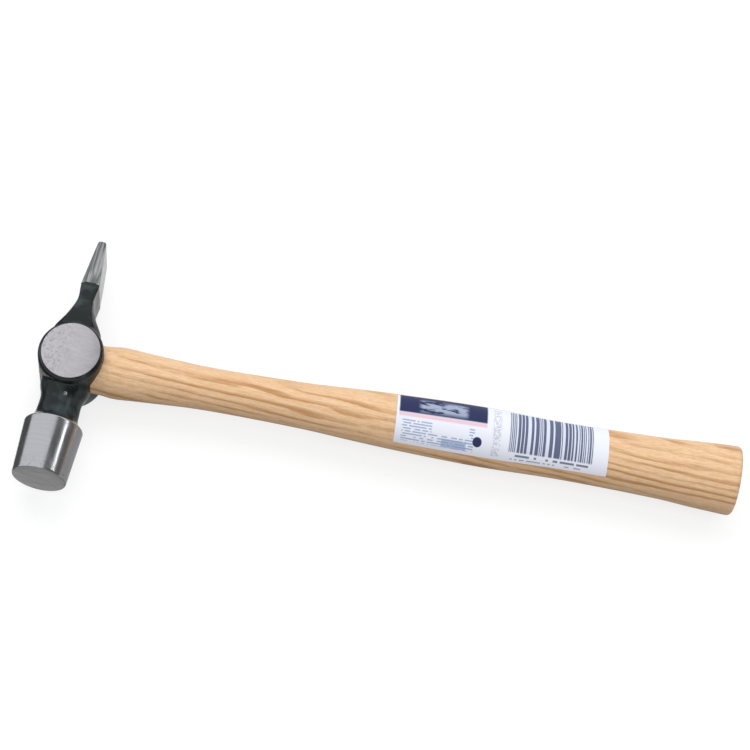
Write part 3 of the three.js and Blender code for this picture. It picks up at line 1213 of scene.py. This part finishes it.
@dataclass
class AshHandle:
    """The handle, coped to the boss, with its tenon wedged in the eye.

    hang: how far it leans towards the pein, in degrees.
    flatness: its thickness as a share of its height.
    cope_lap: how far inside the boss it starts, before it is cut to the boss.
    cope_gap: how far it stays off the boss.
    squeeze: how much fuller the tenon is than the eye, so that no light passes it.
    tenon_past: how far the tenon starts and ends past the boss, before it is trimmed.
    tenon_inset: how far its ends lie inside the boss.
    """

    head: HammerHead
    reach: float
    hang: float = 2.3
    flatness: float = 0.8
    root_height: float = 17.3
    collar_height: float = 18.6
    throat_height: float = 15.4
    belly_height: float = 21.4
    grip_height: float = 20.5
    butt_height: float = 25.2
    butt_edge: float = 1.7
    cope_lap: float = 6.0
    cope_gap: float = 0.02
    squeeze: float = 0.02
    tenon_past: Pair = (1.0, 2.0)
    tenon_inset: float = 0.1
    steps: int = 90

    @property
    def mouth(self) -> float:
        """Half the depth of the boss, where the free handle starts."""
        return self.head.boss_depth / 2

    def blend(self, first: float, second: float, share: float) -> float:
        """A height part of the way from one to another."""
        return first + (second - first) * share

    def knots(self) -> list[Pair]:
        """Works out the outline of the free handle.

        Returns:
            (place, half height) pairs in order.
        """
        throat, belly, grip, butt = self.throat_height, self.belly_height, self.grip_height, self.butt_height
        rows = [
            (0.0, self.root_height),
            (0.023, self.collar_height),
            (0.06, self.blend(self.collar_height, throat, 0.3)),
            (0.16, throat),
            (0.315, self.blend(throat, belly, 0.17)),
            (0.4, self.blend(throat, belly, 0.53)),
            (0.48, self.blend(throat, belly, 0.8)),
            (0.6, belly),
            (0.727, grip),
            (0.88, self.blend(grip, butt, 0.3)),
            (0.937, self.blend(grip, butt, 0.68)),
            (1.0, butt),
        ]
        free = self.reach - self.mouth
        return [(self.mouth + share * free, height / 2) for share, height in rows]

    def station(self, at: float, stand_off: float = 0.0) -> Station:
        """The handle's outline at one place.

        Args:
            at: distance from the centre of the eye.
            stand_off: how far the outline is grown.

        Returns:
            The outline, on the leaning centre line.
        """
        half = smooth_curve(self.knots(), at)
        lean = at * math.tan(math.radians(self.hang))
        size = (1.0, half + stand_off, half * self.flatness + stand_off)
        return Station((at, lean, self.head.axis_height), size)

    def grip(self) -> bpy.types.Object:
        """Draws out the free handle, from inside the boss to its rounded butt.

        Returns:
            The free handle.
        """
        start = self.mouth - self.cope_lap
        places = [start + (self.reach - start) * k / self.steps for k in range(self.steps + 1)]
        item = draw_out("ash_handle", [self.station(at) for at in places], Axis.ALONG_HANDLE, 96)
        only(item)
        bpy.ops.object.mode_set(mode="EDIT")
        end = (self.reach - 0.01) * MM

        def round_butt(edge: bpy.types.MeshEdge) -> bool:
            """Whether an edge is in the rim of the butt."""
            return all(item.data.vertices[k].co.x > end for k in edge.vertices)

        pick(item, "EDGE", round_butt)
        bpy.ops.mesh.bevel(offset=self.butt_edge * MM, segments=7, profile=0.5)
        bpy.ops.object.mode_set(mode="OBJECT")
        return item

    def tenon(self) -> bpy.types.Object:
        """Draws out the part in the eye.

        Returns:
            The tenon, whose ends follow the boss.
        """
        size = (1.0, self.head.eye_height / 2 + self.squeeze, self.head.eye_width / 2 + self.squeeze)
        places = (-self.mouth - self.tenon_past[0], self.mouth + self.tenon_past[1])
        ends = [Station((at, 0.0, self.head.axis_height), size) for at in places]
        item = draw_out("tenon", ends, Axis.ALONG_HANDLE, 96)
        combine(item, Boolean.KEEP_COMMON, self.head.boss(grow=-self.tenon_inset))
        return item

    def build(self) -> None:
        """Makes and dresses the handle."""
        item = self.grip()
        combine(item, Boolean.CUT, self.head.boss(grow=self.cope_gap, taller=self.head.overrun))
        combine(item, Boolean.JOIN, self.tenon())
        tidy_normals(item)
        smooth(item, 35)
        coat(item, AshWood().make())
        hand_over(item, "ash_wood", "handle")


@dataclass
class Wedges:
    """The timber wedge and the steel wedge, driven in from the outer mouth of the eye.

    clearance: between the timber wedge and each end of the eye.
    edge: size of the broken edges.
    crown: how far the driven ends stand out of the boss.
    proud: how far the timber's trimmed end stands out of the boss.
    """

    head: HammerHead
    timber_length: float = 13.5
    timber_thickness: float = 2.6
    timber_tip: float = 0.9
    steel_length: float = 9.0
    steel_width: float = 6.2
    steel_thickness: float = 2.2
    steel_tip: float = 0.8
    clearance: float = 0.3
    edge: float = 0.12
    crown: float = 0.15
    proud: float = 0.02

    def wedge(self, name: str, length: float, driven: Pair, tip: Pair) -> bpy.types.Object:
        """One wedge, tapered from its driven end.

        Args:
            name: name of the piece.
            length: driven end to tip.
            driven: sizes along Y and Z of the driven end.
            tip: the same of the tip.

        Returns:
            The wedge as a closed solid.
        """
        mouth, height = self.head.boss_depth / 2, self.head.axis_height
        low = (-mouth - self.crown, -driven[0] / 2, height - driven[1] / 2)
        high = (-mouth + length, driven[0] / 2, height + driven[1] / 2)
        item = block(name, low, high)
        bpy.ops.object.mode_set(mode="EDIT")
        pick(item, "FACE", lambda face: face.normal.x > 0.9)
        centre = Vector((-mouth + length, 0.0, height)) * MM
        bpy.ops.transform.resize(value=(1.0, tip[0] / driven[0], tip[1] / driven[1]), center_override=centre)
        bpy.ops.object.mode_set(mode="OBJECT")
        apply_modifier(item, "BEVEL", width=self.edge * MM, segments=3, limit_method="ANGLE")
        smooth(item, 30)
        return item

    def build(self) -> None:
        """Makes and dresses both wedges."""
        eye = self.head.eye_height - 2 * self.clearance
        driven, tip = (eye, self.timber_thickness), (eye, self.timber_tip)
        timber = self.wedge("timber_wedge_fine", self.timber_length, driven, tip)
        combine(timber, Boolean.KEEP_COMMON, self.head.boss(grow=self.proud))
        coat(timber, WedgeWood().make())
        hand_over(timber, "wedge_wood", "timber_wedge")
        driven, tip = (self.steel_thickness, self.steel_width), (self.steel_tip, self.steel_width)
        steel = self.wedge("steel_wedge_fine", self.steel_length, driven, tip)
        coat(steel, GroundSteel("wedge_steel", mottled=0.8, rough=0.5).make())
        hand_over(steel, "bright_steel", "steel_wedge")


@dataclass
class PaperLabel:
    """The printed label, wrapped round the upper side of the grip.

    head_angle: angle of its middle line round the handle at the end nearest the head, in degrees
        from +Y.
    butt_angle: the same at its other end.
    skew: how far each long edge has slid along the handle.
    stand_off: how far its underside stays off the wood.
    """

    handle: AshHandle
    length: float = 73.0
    width: float = 20.6
    from_butt: float = 46.0
    head_angle: float = 98.0
    butt_angle: float = 91.0
    skew: float = 0.9
    stand_off: float = 0.06
    thickness: float = 0.12
    steps: int = 60
    sides: int = 240

    @property
    def start(self) -> float:
        """Place of its end nearest the head."""
        return self.handle.reach - self.from_butt - self.length

    def angle_at(self, share: float) -> float:
        """Angle round the handle of its middle line, in degrees from +Y."""
        return self.head_angle + (self.butt_angle - self.head_angle) * share

    def build(self) -> None:
        """Makes and dresses the label."""
        places = [self.start + self.length * k / self.steps for k in range(self.steps + 1)]
        stations = [self.handle.station(at, self.stand_off) for at in places]
        half_spread = math.degrees(self.width / stations[0].across[1]) / 2
        item = ring("paper_label", stations[0], Axis.ALONG_HANDLE, self.sides, "NOTHING")
        centre = Vector(stations[0].centre) * MM

        def outside(point: bpy.types.MeshVertex) -> bool:
            """Whether a point of the ring lies beyond the label's long edges."""
            angle = math.degrees(math.atan2(point.co.z - centre.z, point.co.y - centre.y))
            return abs(angle - self.head_angle) > half_spread

        pick(item, "VERT", outside)
        bpy.ops.mesh.delete(type="VERT")
        bpy.ops.mesh.select_mode(type="EDGE")
        bpy.ops.mesh.select_all(action="SELECT")
        draw_through(stations, Vector((1.0, 1.0, 1.0)))
        bpy.ops.object.mode_set(mode="OBJECT")
        self.twist(item)
        self.lay_print(item, half_spread)
        tidy_normals(item)
        self.face_out(item)
        apply_modifier(item, "SOLIDIFY", thickness=self.thickness * MM, offset=1.0)
        smooth(item, 35)
        coat(item, PrintedPaper().make())
        hand_over(item, "printed_paper", "handle_label")

    def twist(self, item: bpy.types.Object) -> None:
        """Turns each outline of the sheet round the wood, as the label was stuck on a little askew.

        Args:
            item: the open sheet.
        """
        for vertex in item.data.vertices:
            station, angle = self.where(vertex.co / MM)
            share = (station.centre[0] - self.start) / self.length
            angle = math.radians(angle + self.angle_at(share) - self.head_angle)
            vertex.co.x += self.skew * math.cos(math.radians(180) - angle) * MM
            vertex.co.y = (station.centre[1] + station.across[1] * math.cos(angle)) * MM
            vertex.co.z = (station.centre[2] + station.across[2] * math.sin(angle)) * MM

    def where(self, point: Vector) -> tuple[Station, float]:
        """Finds where a point of the sheet lies.

        Args:
            point: the point, in millimetres.

        Returns:
            The outline that it lies on, and its angle round that, in degrees.
        """
        station = self.handle.station(point.x, self.stand_off)
        across = (point.y - station.centre[1]) / station.across[1]
        up = (point.z - station.centre[2]) / station.across[2]
        return station, math.degrees(math.atan2(up, across))

    def face_out(self, item: bpy.types.Object) -> None:
        """Turns the open sheet so that its printed side faces away from the wood.

        Args:
            item: the open sheet.
        """
        up = sum(face.normal.z for face in item.data.polygons)
        if up < 0:
            only(item)
            bpy.ops.object.mode_set(mode="EDIT")
            bpy.ops.mesh.select_all(action="SELECT")
            bpy.ops.mesh.flip_normals()
            bpy.ops.object.mode_set(mode="OBJECT")

    def lay_print(self, item: bpy.types.Object, half_spread: float) -> None:
        """Gives the sheet its own UV map: along it, and down from its upper edge.

        Args:
            item: the open sheet.
            half_spread: half the angle that it covers, in degrees.
        """
        layer = item.data.uv_layers.new(name="print")
        for loop in item.data.loops:
            point = item.data.vertices[loop.vertex_index].co / MM
            _, angle = self.where(point)
            slid = self.skew * math.cos(math.radians(180 - angle))
            along = (point.x - slid - self.start) / self.length
            down = (angle - self.angle_at(along) + half_spread) / (2 * half_spread)
            layer.data[loop.index].uv = (along, down)


# ---- Studio --------------------------------------------------------------------------------------


def seen_straight(tree: bpy.types.NodeTree) -> Socket:
    """Tells what is looked at from the light that falls on things.

    Args:
        tree: the nodes that ask.

    Returns:
        1 for the camera and for what shows in metal or glass, and 0 for all other light.
    """
    path = tree.nodes.new("ShaderNodeLightPath")
    seen = path.outputs["Is Camera Ray"]
    for ray in ("Is Glossy Ray", "Is Transmission Ray"):
        either = tree.nodes.new("ShaderNodeMath")
        either.operation = "MAXIMUM"
        tree.links.new(seen, either.inputs[0])
        tree.links.new(path.outputs[ray], either.inputs[1])
        seen = either.outputs[0]
    return seen


@dataclass(frozen=True)
class Flag:
    """A dull card that only bright surfaces see. It gives the polished poll its darker bands.

    place: its middle, in metres.
    lean: degrees that it is turned about Y from lying flat.
    width: its size across Y, in metres.
    length: its size along Y, in metres.
    level: how light it looks.
    """

    name: str
    place: Triple
    lean: float
    width: float
    length: float
    level: float
    dark: Colour = (0.01, 0.01, 0.01)
    pale: Colour = (0.03, 0.03, 0.03)

    def build(self) -> None:
        """Hangs the card."""
        turn = (0.0, math.radians(self.lean), 0.0)
        add = bpy.ops.mesh.primitive_plane_add
        item = primitive(self.name, add, size=1.0, location=self.place, rotation=turn)
        item.scale = (self.width, self.length, 1.0)
        g = Graph(self.name)
        g.shader.inputs["Emission Color"].default_value = (1, 1, 1, 1)
        g.shader.inputs["Emission Strength"].default_value = self.level
        g.shader.inputs["Specular IOR Level"].default_value = 0.0
        coat(item, g.finish(g.mix(g.noise(g.place, 0.02), self.dark, self.pale), 0.9))
        item.visible_camera = False
        item.visible_diffuse = False
        item.visible_shadow = False


@dataclass(frozen=True)
class Lamp:
    """A soft box aimed at the hammer.

    place: its middle, in metres.
    size: its two sides, in metres.
    power: in watts.
    mirrored: whether bright surfaces show it.
    aim: the point that it faces, in metres.
    """

    name: str
    place: Triple
    size: Pair
    power: float
    mirrored: bool = False
    aim: Triple = (0.03, 0.0, 0.0)

    def build(self) -> None:
        """Hangs the lamp."""
        data = bpy.data.lights.new(self.name, "AREA")
        data.shape = "RECTANGLE"
        data.size, data.size_y = self.size
        data.energy = self.power
        item = bpy.data.objects.new(self.name, data)
        bpy.context.scene.collection.objects.link(item)
        item.location = self.place
        item.rotation_euler = (Vector(self.aim) - Vector(self.place)).to_track_quat("-Z", "Y").to_euler()
        item.visible_glossy = self.mirrored


@dataclass
class Studio:
    """A pale floor, soft lamps, and the camera above and in front of the hammer.

    Angles are in degrees and distances in metres, but for axis_height, which is in millimetres.

    sky_light: strength of the sky as a light.
    sky_seen: strength of the sky where it is seen.
    floor_glow: how much light the floor adds where it is seen.
    """

    axis_height: float
    elevation: float = 61.93
    heading: float = 0.754
    roll: float = 12.645
    distance: float = 0.69094
    aim: Pair = (0.10171, 0.02055)
    lens: float = 96.0
    sky: Colour = (0.96, 0.98, 1.0)
    sky_light: float = 0.5
    sky_seen: float = 1.0
    floor_size: float = 12.0
    floor_drop: float = 0.0001
    floor_grey: Colour = (0.28, 0.28, 0.28)
    floor_glow: float = 0.76
    flags: tuple[Flag, ...] = (
        Flag("flag_sky", (0.95, 0.5, 0.8), 54.0, 1.95, 3.0, 0.16),
        Flag("flag_low_left", (-0.2165, 0.0, 0.0003), 0.0, 0.4, 0.8, 0.1),
        Flag("flag_low_right", (0.12, -0.19, 0.0003), 0.0, 0.22, 0.38, 0.42),
    )
    lamps: tuple[Lamp, ...] = (
        Lamp("key", (-0.3, 0.85, 1.05), (1.2, 1.2), 11.0),
        Lamp("fill", (0.3, -0.5, 1.2), (0.9, 0.9), 4.2),
        Lamp("strip", (0.61, 0.39, 0.52), (0.7, 0.08), 0.9, mirrored=True),
    )

    def camera(self) -> None:
        """Places the camera and makes it the scene's."""
        up, side = math.radians(self.elevation), math.radians(self.heading)
        direction = Vector((math.sin(side) * math.cos(up), math.cos(side) * math.cos(up), -math.sin(up)))
        data = bpy.data.cameras.new("camera")
        data.lens = self.lens
        item = bpy.data.objects.new("camera", data)
        bpy.context.scene.collection.objects.link(item)
        item.location = Vector((*self.aim, self.axis_height * MM)) - direction * self.distance
        turn = direction.to_track_quat("-Z", "Y") @ Quaternion((0, 0, 1), math.radians(self.roll))
        item.rotation_euler = turn.to_euler()
        bpy.context.scene.camera = item

    def world(self) -> None:
        """A soft even sky, which the camera and bright surfaces see as white."""
        world = bpy.data.worlds.new("studio")
        bpy.context.scene.world = world
        world.use_nodes = True
        tree = world.node_tree
        background = tree.nodes["Background"]
        background.inputs[0].default_value = (*self.sky, 1.0)
        strength = tree.nodes.new("ShaderNodeMapRange")
        strength.inputs["To Min"].default_value = self.sky_light
        strength.inputs["To Max"].default_value = self.sky_seen
        tree.links.new(seen_straight(tree), strength.inputs[0])
        tree.links.new(strength.outputs[0], background.inputs[1])

    def floor(self) -> None:
        """A wide white floor that keeps the hammer's soft shadow."""
        add, place = bpy.ops.mesh.primitive_plane_add, (0, 0, -self.floor_drop)
        item = primitive("floor", add, size=self.floor_size, location=place)
        g = Graph("white_floor")
        glow = g.math("MULTIPLY", seen_straight(g.tree), self.floor_glow)
        g.shader.inputs["Emission Color"].default_value = (1, 1, 1, 1)
        g.shader.inputs["Specular IOR Level"].default_value = 0.0
        g.feed(g.shader.inputs["Emission Strength"], glow)
        coat(item, g.finish(self.floor_grey, 0.9))

    def build(self) -> None:
        """Sets up everything round the hammer."""
        self.camera()
        self.world()
        self.floor()
        for thing in (*self.lamps, *self.flags):
            thing.build()
        bpy.context.scene.view_settings.view_transform = "Standard"


def main() -> None:
    """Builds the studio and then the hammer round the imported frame."""
    logging.basicConfig(level=logging.INFO, format="%(name)s %(message)s")
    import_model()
    head_low, head_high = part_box("hammer_head")
    _, handle_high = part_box("handle")
    head = HammerHead(
        cheek_thickness=head_high.z / MM,
        face_reach=-head_low.y / MM,
        pein_reach=head_high.y / MM,
        boss_depth=2 * -head_low.x / MM,
    )
    Studio(head.axis_height).build()
    head.build()
    handle = AshHandle(head, reach=handle_high.x / MM)
    handle.build()
    Wedges(head).build()
    PaperLabel(handle).build()


if __name__ == "__main__":
    main()
